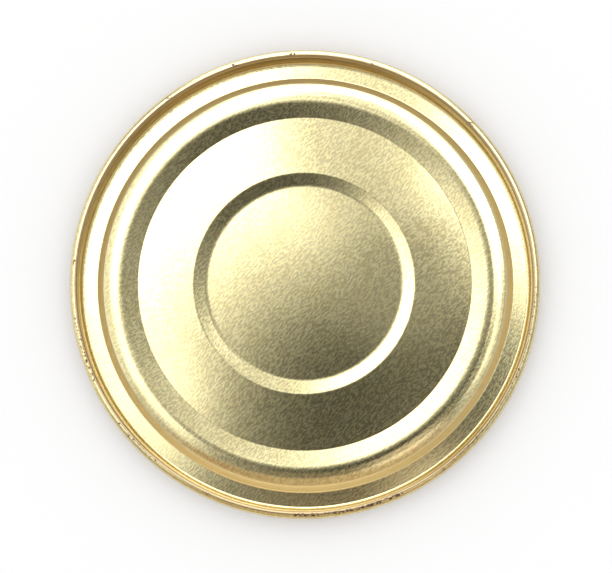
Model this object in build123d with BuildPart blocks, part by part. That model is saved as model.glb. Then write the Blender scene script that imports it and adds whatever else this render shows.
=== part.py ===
from build123d import *
import os
from math import cos, radians, sin, tan

# Can lid: one disc of tinplate, pressed into rings and rolled over at its edge, in millimetres
# It lies face up, with +Z up and the origin under its centre, level with the ring it lies on

# Sheet
sheet = 0.22

# Rolled rim: the outer wall, the fold under it and the hook turned up inside
rim_radius = 38.1
rim_height = 3.0
rim_outer_bend = 0.7
rim_inner_bend = 0.5
hook_length = 1.9
body_gap = 0.32
wall_lean = 2.0

# The rings inside the rim follow, each by its width, from the foot of the chuck wall inwards

# Countersink: the deep flat ring
countersink_depth = 3.4
countersink_width = 2.75
chuck_foot_bend = 0.5
bead_foot_bend = 0.45

# Bead: the raised ring, with a crown that falls a little outwards from its peak, ever more steeply
bead_height = 1.2
bead_wall_width = 1.0
bead_shoulder_bend = 1.2
bead_outer_width = 1.05
bead_outer_fall = 0.125
bead_crown_bend = 8.0
bead_inner_width = 1.6
bead_inner_fall = 0.04
bead_peak_bend = 6.0

# Panel: the flat ring inside the bead, and the slope up to the bead
panel_slope_width = 3.03
panel_step = 0.62
panel_edge_bend = 0.8
panel_width = 9.15

# Disc: what is left in the middle, and the slope down to it
disc_slope_width = 2.12
disc_step = 0.38
disc_rim_bend = 2.0
disc_edge_bend = 4.0

# Heights of the upper face of the sheet
countersink_z = sheet
rim_z = countersink_z + countersink_depth
bead_z = countersink_z + bead_height
crown_z = bead_z - bead_inner_fall
shoulder_z = crown_z - bead_outer_fall
panel_z = bead_z - panel_step
disc_z = panel_z - disc_step

# The three walls of the rim are parallel, and lean outwards as they rise
lean = radians(wall_lean)
wall_stack = 3 * sheet + 2 * body_gap
rim_corner_radius = rim_radius + rim_outer_bend * (tan(lean) + 1 / cos(lean) - 1)


def wall_radius(inset, height):
    """Radius at a height of the wall face that lies a distance inside the rim's outer face."""
    return rim_corner_radius - inset / cos(lean) - (rim_z - height) * tan(lean)


# The fold under the rim goes round the can body's flange, half a turn from the wall to the hook
fold_radius = sheet + body_gap / 2
fold_z = rim_z - rim_height + fold_radius
fold_start_z = fold_z - fold_radius * sin(lean)
fold_centre = (wall_radius(0, fold_start_z) - fold_radius * cos(lean), fold_z)
hook_rise = (hook_length * sin(lean), hook_length * cos(lean))

# Radii of the rings, from the chuck wall inwards
chuck_foot_radius = wall_radius(wall_stack, countersink_z)
bead_foot_radius = chuck_foot_radius - countersink_width
shoulder_radius = bead_foot_radius - bead_wall_width
crown_radius = shoulder_radius - bead_outer_width
peak_radius = crown_radius - bead_inner_width
panel_radius = peak_radius - panel_slope_width
disc_rim_radius = panel_radius - panel_width
disc_radius = disc_rim_radius - disc_slope_width

# Corners of the upper face from the centre to the foot of the rim, with the bend at each
corners = [
    (0, disc_z),
    (disc_radius, disc_z),
    (disc_rim_radius, panel_z),
    (panel_radius, panel_z),
    (peak_radius, bead_z),
    (crown_radius, crown_z),
    (shoulder_radius, shoulder_z),
    (bead_foot_radius, countersink_z),
    (chuck_foot_radius, countersink_z),
    (wall_radius(wall_stack, rim_z), rim_z),
    (rim_corner_radius, rim_z),
    (wall_radius(0, fold_start_z), fold_start_z),
]
bends = [
    disc_edge_bend,
    disc_rim_bend,
    panel_edge_bend,
    bead_peak_bend,
    bead_crown_bend,
    bead_shoulder_bend,
    bead_foot_bend,
    chuck_foot_bend,
    rim_inner_bend,
    rim_outer_bend,
]

with BuildPart() as can_lid:
    with BuildSketch(Plane.XZ):
        with BuildLine():
            FilletPolyline(*corners, radius=bends)
            fold = CenterArc(fold_centre, fold_radius, -wall_lean, -180)
            Line(fold @ 1, fold @ 1 + Vector(*hook_rise))
            offset(amount=sheet, side=Side.RIGHT)
        make_face()
    revolve(axis=Axis.Z)

can_lid.part.label = "can_lid"
os.makedirs("parts", exist_ok=True)
export_step(can_lid.part, "parts/can_lid.step")
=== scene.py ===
"""Dresses the can lid: a finely turned skin in gold lacquered tinplate, with rolled grain and a worn rim.

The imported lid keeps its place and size. One new piece, turned from the same outline with far more
steps round it, stands for it, so that the pressed rings mirror the studio as smoothly as real sheet.
Lengths are in metres. The lid's own sizes are written in millimetres, as a maker would give them.
"""

import logging
import math
from dataclasses import dataclass
from enum import Enum
from typing import Optional, Sequence, Union

import bpy
from mathutils import Matrix, Vector


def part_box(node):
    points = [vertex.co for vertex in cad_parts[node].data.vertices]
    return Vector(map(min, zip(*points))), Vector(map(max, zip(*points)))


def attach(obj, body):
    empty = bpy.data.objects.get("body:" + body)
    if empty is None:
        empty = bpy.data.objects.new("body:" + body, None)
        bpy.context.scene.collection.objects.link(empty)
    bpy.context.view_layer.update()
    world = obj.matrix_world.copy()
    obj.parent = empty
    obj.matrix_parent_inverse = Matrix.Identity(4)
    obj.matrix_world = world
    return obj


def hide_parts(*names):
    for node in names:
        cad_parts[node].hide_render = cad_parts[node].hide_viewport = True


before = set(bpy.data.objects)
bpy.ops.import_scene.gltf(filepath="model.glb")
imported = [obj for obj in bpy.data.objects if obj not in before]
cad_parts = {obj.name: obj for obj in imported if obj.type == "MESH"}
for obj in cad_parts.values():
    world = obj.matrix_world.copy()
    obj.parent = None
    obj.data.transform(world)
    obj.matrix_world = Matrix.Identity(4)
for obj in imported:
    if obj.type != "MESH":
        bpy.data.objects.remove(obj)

MM = 0.001
# A ring of the skin with a smaller radius than this, in millimetres, is one point on the axis
ON_AXIS = 1e-9
FULL_TURN = 360.0
# The photo's width and height in pixels
IMAGE_SIZE = (612, 573)

log = logging.getLogger("can_lid")

Pair = tuple[float, float]
Colour = tuple[float, float, float]


class Nodes:
    """Adds nodes to one node tree and links them.

    Args:
        tree: The node tree of a material or of the world.
    """

    def __init__(self, tree: bpy.types.NodeTree) -> None:
        self.tree = tree
        tree.nodes.clear()

    def add(
        self,
        kind: str,
        settings: Optional[dict[str, object]] = None,
        inputs: Optional[dict[Union[str, int], object]] = None,
        output: Union[str, int] = 0,
    ) -> "Value":
        """Add a node, set it up and link what goes into it.

        Args:
            kind: Blender's name of the node's type.
            settings: The node's own properties, set before its sockets are filled.
            inputs: What each socket gets, by name or number: a number, a tuple or a Value.
            output: The socket that the returned Value wraps.

        Returns:
            The wrapped output socket.
        """
        node = self.tree.nodes.new(kind)
        for name, setting in (settings or {}).items():
            setattr(node, name, setting)
        for name, content in (inputs or {}).items():
            self.fill(node.inputs[name], content)
        return Value(self, node.outputs[output]) if node.outputs else Value(self, None)

    def fill(self, socket: bpy.types.NodeSocket, content: object) -> None:
        """Link a Value to a socket, or write a plain value on it.

        Args:
            socket: The socket to fill.
            content: The Value, number or tuple that it gets.
        """
        if isinstance(content, Value):
            self.tree.links.new(content.socket, socket)
        else:
            socket.default_value = content


@dataclass(frozen=True, eq=False)
class Value:
    """A number or vector that varies over a surface, with Python's own signs for the sums of numbers."""

    nodes: Nodes
    socket: Optional[bpy.types.NodeSocket]

    def _math(self, operation: str, *others: object, clamp: bool = False) -> "Value":
        """Return the Math node of an operation on this value and others."""
        contents = dict(enumerate((self, *others)))
        return self.nodes.add("ShaderNodeMath", {"operation": operation, "use_clamp": clamp}, contents)

    def __add__(self, other: object) -> "Value":
        """Return this plus other."""
        return self._math("ADD", other)

    __radd__ = __add__

    def __mul__(self, other: object) -> "Value":
        """Return this times other."""
        return self._math("MULTIPLY", other)

    __rmul__ = __mul__

    def __sub__(self, other: object) -> "Value":
        """Return this minus other."""
        return self._math("SUBTRACT", other)

    def __rsub__(self, other: object) -> "Value":
        """Return other minus this."""
        return self * -1.0 + other

    def __mod__(self, other: object) -> "Value":
        """Return what is left of this after whole steps of other, never below 0."""
        return self._math("FLOORED_MODULO", other)

    def __pow__(self, power: float) -> "Value":
        """Return this raised to a power."""
        return self._math("POWER", power)

    def larger(self, other: object) -> "Value":
        """Return the larger of this and other."""
        return self._math("MAXIMUM", other)

    def angle_from(self, across: object) -> "Value":
        """Return the angle, in radians, of a slope that rises by this and runs by across."""
        return self._math("ARCTAN2", across)

    def clamped(self) -> "Value":
        """Return this held between 0 and 1."""
        return self._math("ADD", 0.0, clamp=True)

    def step(self, low: float, high: float) -> "Value":
        """Return a share that rises smoothly from 0 at low to 1 at high.

        Args:
            low: Where the share is 0.
            high: Where the share is 1. Below low, it makes the rise a fall.

        Returns:
            The share at this value.
        """
        inputs = {"Value": self, "From Min": low, "From Max": high, "To Min": 0.0, "To Max": 1.0}
        settings = {"interpolation_type": "SMOOTHSTEP"}
        if low < high:
            return self.nodes.add("ShaderNodeMapRange", settings, inputs)
        inputs.update({"From Min": high, "From Max": low})
        return 1.0 - self.nodes.add("ShaderNodeMapRange", settings, inputs)

    def part(self, axis: str) -> "Value":
        """Return the X, Y or Z of this vector."""
        return self.nodes.add("ShaderNodeSeparateXYZ", inputs={0: self}, output=axis)

    def flat(self) -> "Value":
        """Return this vector with its height taken out."""
        inputs = {0: self, 1: (1.0, 1.0, 0.0)}
        return self.nodes.add("ShaderNodeVectorMath", {"operation": "MULTIPLY"}, inputs)

    def length(self) -> "Value":
        """Return the length of this vector."""
        return self.nodes.add("ShaderNodeVectorMath", {"operation": "LENGTH"}, {0: self}, output="Value")


def blend(nodes: Nodes, low: object, high: object, share: object) -> Value:
    """Return a colour between low and high.

    Args:
        nodes: The tree that the colour belongs to.
        low: The colour where share is 0.
        high: The colour where share is 1.
        share: How much of high there is.

    Returns:
        The mixed colour.
    """
    paint = [(*tone, 1.0) if isinstance(tone, tuple) else tone for tone in (low, high)]
    inputs = {"Factor": share, 6: paint[0], 7: paint[1]}
    return nodes.add("ShaderNodeMix", {"data_type": "RGBA"}, inputs, output=2)


def square(name: str, half_width: float, faces_up: bool) -> bpy.types.Object:
    """Return a flat square round the origin as a new object.

    Args:
        name: The name of the object and its mesh.
        half_width: Half the length of its side.
        faces_up: Whether it looks up or down.

    Returns:
        The square.
    """
    low, high = -half_width, half_width
    corners = [(low, low, 0.0), (high, low, 0.0), (high, high, 0.0), (low, high, 0.0)]
    mesh = bpy.data.meshes.new(name)
    mesh.from_pydata(corners if faces_up else corners[::-1], [], [(0, 1, 2, 3)])
    piece = bpy.data.objects.new(name, mesh)
    bpy.context.collection.objects.link(piece)
    return piece


@dataclass(frozen=True)
class Corner:
    """A corner of the sheet's upper face before it is bent: radius, height and bend in millimetres."""

    radius: float
    height: float
    bend: float = 0.0


@dataclass(frozen=True)
class Station:
    """A place on the sheet's upper face, with the direction that the face looks in."""

    place: Pair
    facing: Pair

    def sunk(self, depth: float) -> "Station":
        """Return the place straight across the sheet from this one.

        Args:
            depth: How far it lies below the face, in millimetres.

        Returns:
            That place, facing the other way.
        """
        radius = self.place[0] - self.facing[0] * depth
        height = self.place[1] - self.facing[1] * depth
        return Station((radius, height), (-self.facing[0], -self.facing[1]))


@dataclass
class LidOutline:
    """The lid's folded outline from its centre to the raw edge inside the rim, in millimetres.

    Its sizes are those of the part's source. The last two say how finely each bend is divided.
    """

    rim_radius: float
    sheet: float = 0.22
    rim_height: float = 3.0
    rim_outer_bend: float = 0.7
    rim_inner_bend: float = 0.5
    hook_length: float = 1.9
    body_gap: float = 0.32
    wall_lean: float = math.radians(2.0)
    countersink_depth: float = 3.4
    countersink_width: float = 2.75
    chuck_foot_bend: float = 0.5
    bead_foot_bend: float = 0.45
    bead_height: float = 1.2
    bead_wall_width: float = 1.0
    bead_shoulder_bend: float = 1.2
    bead_outer_width: float = 1.05
    bead_outer_fall: float = 0.125
    bead_crown_bend: float = 8.0
    bead_inner_width: float = 1.6
    bead_inner_fall: float = 0.04
    bead_peak_bend: float = 6.0
    panel_slope_width: float = 3.03
    panel_step: float = 0.62
    panel_edge_bend: float = 0.8
    panel_width: float = 9.15
    disc_slope_width: float = 2.12
    disc_step: float = 0.38
    disc_rim_bend: float = 2.0
    disc_edge_bend: float = 4.0
    arc_step: float = math.radians(7.0)
    least_steps: int = 6

    @property
    def rim_z(self) -> float:
        """Return the height of the rim's top."""
        return self.sheet + self.countersink_depth

    def wall_radius(self, inset: float, height: float) -> float:
        """Return the radius of one of the rim's leaning wall faces.

        Args:
            inset: How far the face lies inside the rim's outer face.
            height: The height at which the radius is wanted.

        Returns:
            The radius there.
        """
        lean = self.wall_lean
        corner = self.rim_radius + self.rim_outer_bend * (math.tan(lean) + 1 / math.cos(lean) - 1)
        return corner - inset / math.cos(lean) - (self.rim_z - height) * math.tan(lean)

    def corners(self) -> list[Corner]:
        """Work out the corners of the upper face.

        Returns:
            The corners, from the centre to the foot of the rim's outer wall.
        """
        floor_z = self.sheet
        bead_z = floor_z + self.bead_height
        crown_z = bead_z - self.bead_inner_fall
        panel_z = bead_z - self.panel_step
        disc_z = panel_z - self.disc_step
        stack = 3 * self.sheet + 2 * self.body_gap
        chuck_foot = self.wall_radius(stack, floor_z)
        bead_foot = chuck_foot - self.countersink_width
        shoulder = bead_foot - self.bead_wall_width
        crown = shoulder - self.bead_outer_width
        peak = crown - self.bead_inner_width
        panel = peak - self.panel_slope_width
        disc_rim = panel - self.panel_width
        disc = disc_rim - self.disc_slope_width
        fold_z = self.fold_start()[1]
        return [
            Corner(0.0, disc_z),
            Corner(disc, disc_z, self.disc_edge_bend),
            Corner(disc_rim, panel_z, self.disc_rim_bend),
            Corner(panel, panel_z, self.panel_edge_bend),
            Corner(peak, bead_z, self.bead_peak_bend),
            Corner(crown, crown_z, self.bead_crown_bend),
            Corner(shoulder, crown_z - self.bead_outer_fall, self.bead_shoulder_bend),
            Corner(bead_foot, floor_z, self.bead_foot_bend),
            Corner(chuck_foot, floor_z, self.chuck_foot_bend),
            Corner(self.wall_radius(stack, self.rim_z), self.rim_z, self.rim_inner_bend),
            Corner(self.wall_radius(0.0, self.rim_z), self.rim_z, self.rim_outer_bend),
            Corner(self.wall_radius(0.0, fold_z), fold_z),
        ]

    @property
    def fold_radius(self) -> float:
        """Return the outer radius of the fold under the rim."""
        return self.sheet + self.body_gap / 2

    def fold_start(self) -> Pair:
        """Return where the rim's outer wall runs into the fold under it."""
        height = self.rim_z - self.rim_height + self.fold_radius * (1 - math.sin(self.wall_lean))
        return self.wall_radius(0.0, height), height

    def arc(self, centre: Pair, radius: float, start: float, turn: float) -> list[Station]:
        """Return stations along an arc of the upper face.

        Args:
            centre: The arc's centre.
            radius: The arc's radius.
            start: The angle from the centre to the arc's first station.
            turn: The angle that the arc turns through, below zero where the face is convex.

        Returns:
            The stations, both ends included.
        """
        steps = max(self.least_steps, math.ceil(abs(turn) / self.arc_step))
        side = -1.0 if turn > 0 else 1.0
        stations = []
        for index in range(steps + 1):
            angle = start + turn * index / steps
            away = (math.cos(angle), math.sin(angle))
            place = (centre[0] + radius * away[0], centre[1] + radius * away[1])
            stations.append(Station(place, (side * away[0], side * away[1])))
        return stations

    def bent(self, before: Corner, corner: Corner, after: Corner) -> list[Station]:
        """Bend the sheet at a corner, tangent to it on both sides.

        Args:
            before: The corner before it.
            corner: The corner to bend.
            after: The corner after it.

        Returns:
            The stations along the bend.
        """
        heading_in = math.atan2(corner.height - before.height, corner.radius - before.radius)
        heading_out = math.atan2(after.height - corner.height, after.radius - corner.radius)
        turn = math.remainder(heading_out - heading_in, math.tau)
        side = math.copysign(1.0, turn)
        reach = corner.bend * math.tan(abs(turn) / 2)
        start_radius = corner.radius - reach * math.cos(heading_in)
        start_height = corner.height - reach * math.sin(heading_in)
        to_centre = heading_in + side * math.pi / 2
        centre = (
            start_radius + corner.bend * math.cos(to_centre),
            start_height + corner.bend * math.sin(to_centre),
        )
        return self.arc(centre, corner.bend, to_centre + math.pi, turn)

    def upper_face(self) -> list[Station]:
        """Follow the upper face through all its bends and the fold.

        Returns:
            The stations, from the centre to the raw edge.
        """
        corners = self.corners()
        stations = [Station((0.0, corners[0].height), (0.0, 1.0))]
        for before, corner, after in zip(corners, corners[1:], corners[2:]):
            stations += self.bent(before, corner, after)
        start = self.fold_start()
        lean = self.wall_lean
        centre = (
            start[0] - self.fold_radius * math.cos(lean),
            start[1] + self.fold_radius * math.sin(lean),
        )
        fold = self.arc(centre, self.fold_radius, -lean, -math.pi)
        last = fold[-1]
        rise = (self.hook_length * math.sin(lean), self.hook_length * math.cos(lean))
        edge = Station((last.place[0] + rise[0], last.place[1] + rise[1]), last.facing)
        return stations + fold + [edge]


@dataclass
class LidSkin:
    """The lid's whole surface, turned from its outline in so many steps around."""

    outline: LidOutline
    around: int = 320
    name: str = "lid_sheet"

    def stations(self) -> list[Station]:
        """Close the outline.

        Returns:
            The stations of the upper face out to the raw edge, then those of the lower face back.
        """
        upper = self.outline.upper_face()
        lower = [station.sunk(self.outline.sheet) for station in reversed(upper)]
        return upper + lower

    def build(self) -> bpy.types.Object:
        """Turn the outline about the lid's axis.

        Returns:
            The skin as a new object, whose normals are the directions that the outline gives.
        """
        stations = self.stations()
        points: list[Vector] = []
        facings: list[Vector] = []
        rings: list[list[int]] = []
        for station in stations:
            on_axis = station.place[0] < ON_AXIS
            count = 1 if on_axis else self.around
            rings.append(list(range(len(points), len(points) + count)))
            for index in range(count):
                angle = math.tau * index / self.around
                across = Vector((math.cos(angle), math.sin(angle), 0.0))
                points.append((across * station.place[0] + Vector((0, 0, station.place[1]))) * MM)
                facings.append(across * station.facing[0] + Vector((0, 0, station.facing[1])))
        faces = []
        for inner, outer in zip(rings, rings[1:]):
            faces += self._band(inner, outer)
        mesh = bpy.data.meshes.new(self.name)
        mesh.from_pydata(points, [], faces)
        mesh.shade_smooth()
        mesh.normals_split_custom_set_from_vertices([facing.normalized() for facing in facings])
        skin = bpy.data.objects.new(self.name, mesh)
        bpy.context.collection.objects.link(skin)
        return skin

    def _band(self, inner: list[int], outer: list[int]) -> list[tuple[int, ...]]:
        """Join two neighbouring rings, either of which may be a single point.

        Args:
            inner: The points of the ring that comes first along the outline.
            outer: The points of the next one.

        Returns:
            The faces between them, as the numbers of their points.
        """
        count = max(len(inner), len(outer))
        faces = []
        for index in range(count):
            following = (index + 1) % count
            if len(inner) == 1:
                faces.append((inner[0], outer[index], outer[following]))
            elif len(outer) == 1:
                faces.append((inner[index], outer[0], inner[following]))
            else:
                faces.append((inner[index], outer[index], outer[following], inner[following]))
        return faces


@dataclass(frozen=True)
class Ring:
    """A ring on the lid where its finish or its painted shade differs: its radii in millimetres, from
    inside out.
    """

    fade_in: float
    inner: float
    outer: float
    fade_out: float

    def share(self, radius: Value) -> Value:
        """Return 1 inside this ring and 0 outside it, for a radius in metres."""
        rise = radius.step(self.fade_in * MM, self.inner * MM)
        return rise * radius.step(self.fade_out * MM, self.outer * MM)


@dataclass(frozen=True)
class Mottle:
    """A cloudy texture: the size of its patches in metres, and how finely and strongly they break up."""

    patch: float
    detail: float
    roughness: float = 0.5

    def height(self, place: Value) -> Value:
        """Return the texture's height, which is about 0.5 on average.

        Args:
            place: The place where it is wanted.

        Returns:
            The height there.
        """
        inputs = {"Vector": place, "Scale": 1.0 / self.patch, "Detail": self.detail}
        inputs["Roughness"] = self.roughness
        return place.nodes.add("ShaderNodeTexNoise", {"noise_dimensions": "3D"}, inputs)


@dataclass(frozen=True)
class WornPatch:
    """A stretch of the rim where the lacquer is rubbed through, by its angles in degrees from +X."""

    start: float
    end: float
    strength: float
    fade: float = 1.5

    def share(self, angle: Value) -> Value:
        """Return this patch's strength at an angle in degrees, and 0 away from it."""
        rise = angle.step(self.start - self.fade, self.start + self.fade)
        return rise * angle.step(self.end + self.fade, self.end - self.fade) * self.strength


@dataclass(frozen=True)
class RimWear:
    """The rubbed and tarnished marks along the highest line of the rim.

    The mottle and the rub add up to a height: the lacquer is whole up to one level of it and gone
    above the other.
    """

    line: Ring = Ring(37.04, 37.18, 37.52, 37.68)
    colour: Colour = (0.13, 0.075, 0.065)
    roughness: float = 0.45
    marks: Mottle = Mottle(0.34 * MM, 4.0, 0.6)
    rub_weight: float = 0.36
    whole: float = 0.74
    bare: float = 0.80
    patches: Sequence[WornPatch] = (
        WornPatch(42.0, 44.5, 0.75),
        WornPatch(71.0, 73.0, 0.8),
        WornPatch(91.5, 94.0, 0.85),
        WornPatch(106.0, 108.5, 0.85),
        WornPatch(125.0, 127.5, 0.75),
        WornPatch(174.0, 176.5, 0.75),
        WornPatch(188.0, 207.0, 0.62),
        WornPatch(216.0, 232.0, 0.52),
        WornPatch(244.0, 247.0, 0.7),
        WornPatch(267.0, 281.0, 0.72),
        WornPatch(281.0, 296.0, 0.80),
        WornPatch(304.0, 321.0, 0.55),
        WornPatch(325.0, 359.0, 0.5),
    )

    def share(self, place: Value, radius: Value) -> Value:
        """Return how far the rim is worn at a place.

        Args:
            place: The place on the lid.
            radius: Its distance from the axis.

        Returns:
            0 where the lacquer is whole and 1 where it is gone.
        """
        degrees = place.part("Y").angle_from(place.part("X")) * math.degrees(1.0) % FULL_TURN
        rub: object = 0.0
        for patch in self.patches:
            rub = patch.share(degrees) + rub
        height = self.marks.height(place) + rub * self.rub_weight
        return height.step(self.whole, self.bare) * self.line.share(radius)


@dataclass(frozen=True)
class GoldTinplate:
    """Rolled tinplate under clear gold lacquer.

    The flat sheet shows short rolled strokes at an angle. The walls that the press drew out have lost
    them and mirror less sharply. The chuck wall and the rim's outer face carry painted shade: darker
    golds all round. The bead wall carries a painted highlight: a gold of its own and less metal, so that
    its mirrored line reads lighter.
    """

    gold: Colour = (0.97, 0.87, 0.46)
    deep_gold: Colour = (0.90, 0.77, 0.37)
    roughness: float = 0.105
    stroke_roughness: float = 0.036
    lacquer_roughness: float = 0.08
    edge_tint: Colour = (0.95, 0.80, 0.50)
    # Painted shade: a darker gold all round the chuck wall, for the shade that the wall shows
    chuck_wall_painted_shade: Colour = (0.50, 0.38, 0.20)
    # Painted shade: a darker brown gold all round the rim's outer face, which draws a dark outline
    seam_painted_shade: Colour = (0.46, 0.34, 0.17)
    # Painted highlight: the bead wall's own gold, so that its mirrored line reads lighter
    bead_wall_painted_highlight: Colour = (0.95, 0.82, 0.46)
    stroke_shade: Colour = (0.56, 0.47, 0.24)
    cloud: Mottle = Mottle(3.125 * MM, 3.0)
    cloud_low: float = 0.40
    cloud_high: float = 0.65
    cloud_shade: float = 0.5
    grain: Mottle = Mottle(1.0, 2.0, 0.55)
    grain_angle: float = math.radians(46.0)
    grain_width: float = 0.24 * MM
    grain_length: float = 0.62 * MM
    grain_depth: float = 0.007 * MM
    grain_shade: float = 0.48
    stroke_top: float = 0.60
    stroke_bottom: float = 0.40
    wall: Ring = Ring(36.45, 36.7, 37.15, 37.4)
    bead_wall: Ring = Ring(32.75, 32.95, 33.95, 34.1)
    drawn_roughness: float = 0.16
    # Painted highlight: the share of metal taken off the bead wall, so that it also scatters the room's
    # white light and its line reads lighter
    bead_wall_painted_highlight_share: float = 0.35
    seam: Ring = Ring(37.88, 38.02, 39.0, 39.5)
    wear: RimWear = RimWear()

    def dress(self, piece: bpy.types.Object) -> None:
        """Give a piece this finish in its first slot.

        Args:
            piece: The piece to dress.
        """
        material = bpy.data.materials.new("gold_tinplate")
        material.use_nodes = True
        nodes = Nodes(material.node_tree)
        place = nodes.add("ShaderNodeTexCoord", output="Object")
        turned = nodes.add(
            "ShaderNodeMapping",
            {"vector_type": "TEXTURE"},
            {
                "Vector": place,
                "Rotation": (0.0, 0.0, self.grain_angle),
                "Scale": (self.grain_length, self.grain_width, self.grain_width),
            },
        )
        grain = self.grain.height(turned)
        clouding = self.cloud.height(place).step(self.cloud_low, self.cloud_high) * self.cloud_shade
        radius = place.flat().length()
        worn = self.wear.share(place, radius)
        drawn = self.bead_wall.share(radius)
        chuck_wall = self.wall.share(radius)
        seam = self.seam.share(radius)
        smooth = (drawn + chuck_wall + seam).clamped()
        stroke = grain.step(self.stroke_top, self.stroke_bottom) * (1.0 - smooth)
        colour = blend(nodes, self.gold, self.deep_gold, clouding)
        # Painted shade on the chuck wall
        colour = blend(nodes, colour, self.chuck_wall_painted_shade, chuck_wall)
        # Painted highlight on the bead wall
        colour = blend(nodes, colour, self.bead_wall_painted_highlight, drawn)
        # Painted shade on the rim's outer face
        colour = blend(nodes, colour, self.seam_painted_shade, seam)
        colour = blend(nodes, colour, self.stroke_shade, stroke * self.grain_shade)
        colour = blend(nodes, colour, self.wear.colour, worn)
        roughness = (1.0 - stroke) * self.stroke_roughness + self.roughness
        roughness = (drawn + chuck_wall) * self.drawn_roughness + roughness
        roughness = worn * (self.wear.roughness - self.roughness) + roughness
        bump = nodes.add(
            "ShaderNodeBump",
            inputs={"Strength": 1.0, "Distance": self.grain_depth, "Height": grain},
            output="Normal",
        )
        shader = nodes.add(
            "ShaderNodeBsdfPrincipled",
            inputs={
                "Base Color": colour,
                # Painted highlight: less metal on the bead wall lightens its line
                "Metallic": 1.0 - drawn * self.bead_wall_painted_highlight_share,
                "Roughness": roughness,
                "Specular Tint": (*self.edge_tint, 1.0),
                "Coat Weight": 1.0 - worn,
                "Coat Roughness": self.lacquer_roughness,
                "Normal": bump,
            },
        )
        nodes.add("ShaderNodeOutputMaterial", inputs={"Surface": shader})
        piece.data.materials.clear()
        piece.data.materials.append(material)


class Falloff(Enum):
    """How a patch of light or shade ends: evenly, or slowly near its middle and fast at its edge."""

    EVEN = "even"
    LATE = "late"


@dataclass(frozen=True)
class SoftSpot:
    """A round patch of light or shade on the studio's ceiling, in metres from the lid's axis.

    Args:
        place: The x and y of its middle.
        core: The radius of its full strength.
        fade: The radius where it ends.
        light: The light there, where 1 shows a colour as it is written.
        falloff: How it ends between core and fade.
        late_power: How long a late falloff holds the light of the core.
    """

    place: Pair
    core: float
    fade: float
    light: Colour
    falloff: Falloff = Falloff.EVEN
    late_power: float = 2.2

    def share(self, place: Value) -> Value:
        """Return how much of this patch's light there is at a place on the ceiling.

        Args:
            place: The place, from the ceiling's own centre.

        Returns:
            1 inside the core and 0 outside the fade.
        """
        nodes = place.nodes
        inputs = {0: place, 1: (*self.place, 0.0)}
        away = nodes.add("ShaderNodeVectorMath", {"operation": "DISTANCE"}, inputs, output="Value")
        if self.falloff is Falloff.EVEN:
            return away.step(self.fade, self.core)
        return 1.0 - ((away - self.core) * (1.0 / (self.fade - self.core))).clamped() ** self.late_power


def grey(level: float) -> Colour:
    """Return a neutral light of one level."""
    return (level, level, level)


@dataclass
class Ceiling:
    """The softboxes and the dark camera over the lid, as its metal mirrors them."""

    height: float = 0.204
    half_width: float = 2.0
    horizon: Colour = (0.42, 0.33, 0.24)
    spots: Sequence[SoftSpot] = (
        # The dim room, its two side lights and its far window
        SoftSpot((0.0, 0.0), 0.30, 0.50, grey(0.58)),
        SoftSpot((-0.56, 0.06), 0.25, 0.33, (0.95, 0.85, 0.75)),
        SoftSpot((-0.23, 0.07), 0.13, 0.19, grey(1.05)),
        SoftSpot((0.0, 0.70), 0.33, 0.42, grey(2.4)),
        # The brown end of the room, and two windows opposite
        SoftSpot((0.0, -0.62), 0.20, 0.30, (0.50, 0.42, 0.34)),
        SoftSpot((0.02, 0.30), 0.09, 0.22, grey(2.4)),
        SoftSpot((0.085, 0.085), 0.035, 0.068, grey(2.4)),
        # The softbox over the lid, with its dim middle and the dark camera in it
        SoftSpot((0.0, 0.06), 0.078, 0.116, grey(3.0)),
        SoftSpot((0.006, 0.066), 0.016, 0.036, grey(0.85)),
        SoftSpot((0.004, -0.02), 0.012, 0.078, grey(0.09), Falloff.LATE),
        # The softbox's lower corners
        SoftSpot((0.072, -0.01), 0.008, 0.032, grey(1.6)),
        SoftSpot((-0.068, -0.018), 0.012, 0.036, grey(2.0)),
        SoftSpot((-0.07, -0.045), 0.008, 0.03, grey(1.0)),
        # The brown table edge below it, with one light gap
        SoftSpot((0.0, -0.24), 0.168, 0.20, (0.58, 0.46, 0.34)),
        SoftSpot((-0.062, -0.09), 0.012, 0.045, (0.46, 0.33, 0.24)),
        SoftSpot((0.072, -0.08), 0.008, 0.03, (0.54, 0.40, 0.32)),
        SoftSpot((0.034, -0.053), 0.009, 0.028, (1.15, 1.0, 0.92)),
        # The camera's dark side
        SoftSpot((0.034, -0.006), 0.010, 0.030, grey(0.12), Falloff.LATE),
        SoftSpot((0.02, 0.022), 0.004, 0.028, grey(0.34), Falloff.LATE),
    )

    def build(self) -> bpy.types.Object:
        """Hang the ceiling, which only mirrored rays see.

        Returns:
            The ceiling.
        """
        ceiling = square("studio_ceiling", self.half_width, faces_up=False)
        ceiling.location = (0.0, 0.0, self.height)
        ceiling.data.materials.append(self._cloth())
        ceiling.visible_camera = False
        ceiling.visible_diffuse = False
        ceiling.visible_shadow = False
        ceiling.visible_transmission = False
        return ceiling

    def _cloth(self) -> bpy.types.Material:
        """Make the ceiling's glow with its soft spots.

        Returns:
            The material.
        """
        material = bpy.data.materials.new("ceiling_cloth")
        material.use_nodes = True
        material.cycles.emission_sampling = "NONE"
        nodes = Nodes(material.node_tree)
        place = nodes.add("ShaderNodeTexCoord", output="Object")
        light: object = self.horizon
        for spot in self.spots:
            light = blend(nodes, light, spot.light, spot.share(place))
        glow = nodes.add("ShaderNodeEmission", inputs={"Color": light, "Strength": 1.0})
        nodes.add("ShaderNodeOutputMaterial", inputs={"Surface": glow})
        return material


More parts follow.
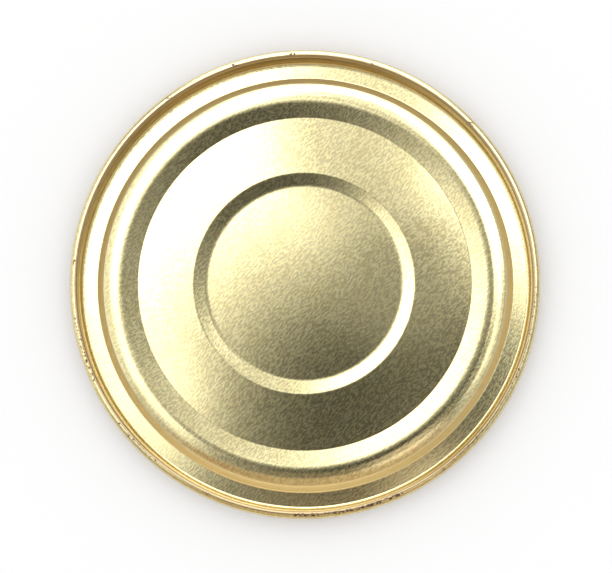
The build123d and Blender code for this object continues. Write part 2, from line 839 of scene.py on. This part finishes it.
@dataclass
class Floor:
    """The pale floor, clear from below and open right under the lid, so that its underside gets light."""

    half_width: float = 2.5
    opening: float = 35.0 * MM
    opening_edge: float = 0.1 * MM
    colour: Colour = (1.0, 1.0, 1.0)

    def build(self) -> bpy.types.Object:
        """Lay the floor.

        Returns:
            The floor.
        """
        floor = square("studio_floor", self.half_width, faces_up=True)
        material = bpy.data.materials.new("pale_floor")
        material.use_nodes = True
        nodes = Nodes(material.node_tree)
        below = nodes.add("ShaderNodeNewGeometry", output="Backfacing")
        away = nodes.add("ShaderNodeTexCoord", output="Object").length()
        covered = away.step(self.opening + self.opening_edge, self.opening)
        paint = nodes.add("ShaderNodeBsdfDiffuse", inputs={"Color": (*self.colour, 1.0)})
        clear = nodes.add("ShaderNodeBsdfTransparent")
        surface = nodes.add("ShaderNodeMixShader", inputs={0: below.larger(covered), 1: paint, 2: clear})
        nodes.add("ShaderNodeOutputMaterial", inputs={"Surface": surface})
        floor.data.materials.append(material)
        return floor


@dataclass
class Room:
    """The even white light all round the lid."""

    level: float = 1.0
    colour: Colour = (1.0, 1.0, 1.0)

    def build(self) -> bpy.types.World:
        """Light the room.

        Returns:
            The world, now the scene's own.
        """
        world = bpy.data.worlds.new("white_room")
        world.use_nodes = True
        nodes = Nodes(world.node_tree)
        light = {"Color": (*self.colour, 1.0), "Strength": self.level}
        glow = nodes.add("ShaderNodeBackground", inputs=light)
        nodes.add("ShaderNodeOutputWorld", inputs={"Surface": glow})
        bpy.context.scene.world = world
        return world


@dataclass
class PhotoCamera:
    """The camera, almost straight above the lid and leaning to the picture's lower right."""

    distance: float = 0.242
    tilt: float = math.radians(6.1)
    towards: float = math.radians(-61.0)
    focal_pixels: float = 1500.0
    sensor: float = 36.0
    centre_pixel: Pair = (302.93, 280.95)
    nearest: float = 0.01
    farthest: float = 10.0

    def build(self, rim_height: float) -> bpy.types.Object:
        """Return the camera, now the scene's own.

        Args:
            rim_height: The height of the rim's top, which the camera's distance counts from.

        Returns:
            The camera object.
        """
        data = bpy.data.cameras.new("photo_camera")
        camera = bpy.data.objects.new("photo_camera", data)
        bpy.context.collection.objects.link(camera)
        centre = Vector((0.0, 0.0, rim_height))
        flat = math.sin(self.tilt)
        back = Vector((flat * math.cos(self.towards), flat * math.sin(self.towards), math.cos(self.tilt)))
        right = Vector((0.0, 1.0, 0.0)).cross(back).normalized()
        upward = back.cross(right)
        turn = Matrix((right, upward, back)).transposed()
        camera.location = centre + back * self.distance
        data.sensor_width = self.sensor
        data.lens = self.focal_pixels / IMAGE_SIZE[0] * self.sensor
        data.shift_x = (IMAGE_SIZE[0] / 2 - self.centre_pixel[0]) / IMAGE_SIZE[0]
        data.shift_y = (self.centre_pixel[1] - IMAGE_SIZE[1] / 2) / IMAGE_SIZE[0]
        data.clip_start = self.nearest
        data.clip_end = self.farthest
        camera.rotation_mode = "QUATERNION"
        camera.rotation_quaternion = turn.to_quaternion()
        bpy.context.scene.camera = camera
        return camera


def main() -> None:
    """Build the studio and the lid."""
    logging.basicConfig(level=logging.INFO, format="%(message)s")
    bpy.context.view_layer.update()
    low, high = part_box("can_lid")
    bpy.context.scene.view_settings.view_transform = "Standard"
    PhotoCamera().build(high[2])
    Room().build()
    Ceiling().build()
    Floor().build()
    reach = min(-low[0], -low[1], high[0], high[1]) / MM
    outline = LidOutline(rim_radius=reach)
    skin = LidSkin(outline).build()
    GoldTinplate().dress(skin)
    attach(skin, "root")
    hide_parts("can_lid")
    log.info("%s: %d faces", skin.name, len(skin.data.polygons))


if __name__ == "__main__":
    main()
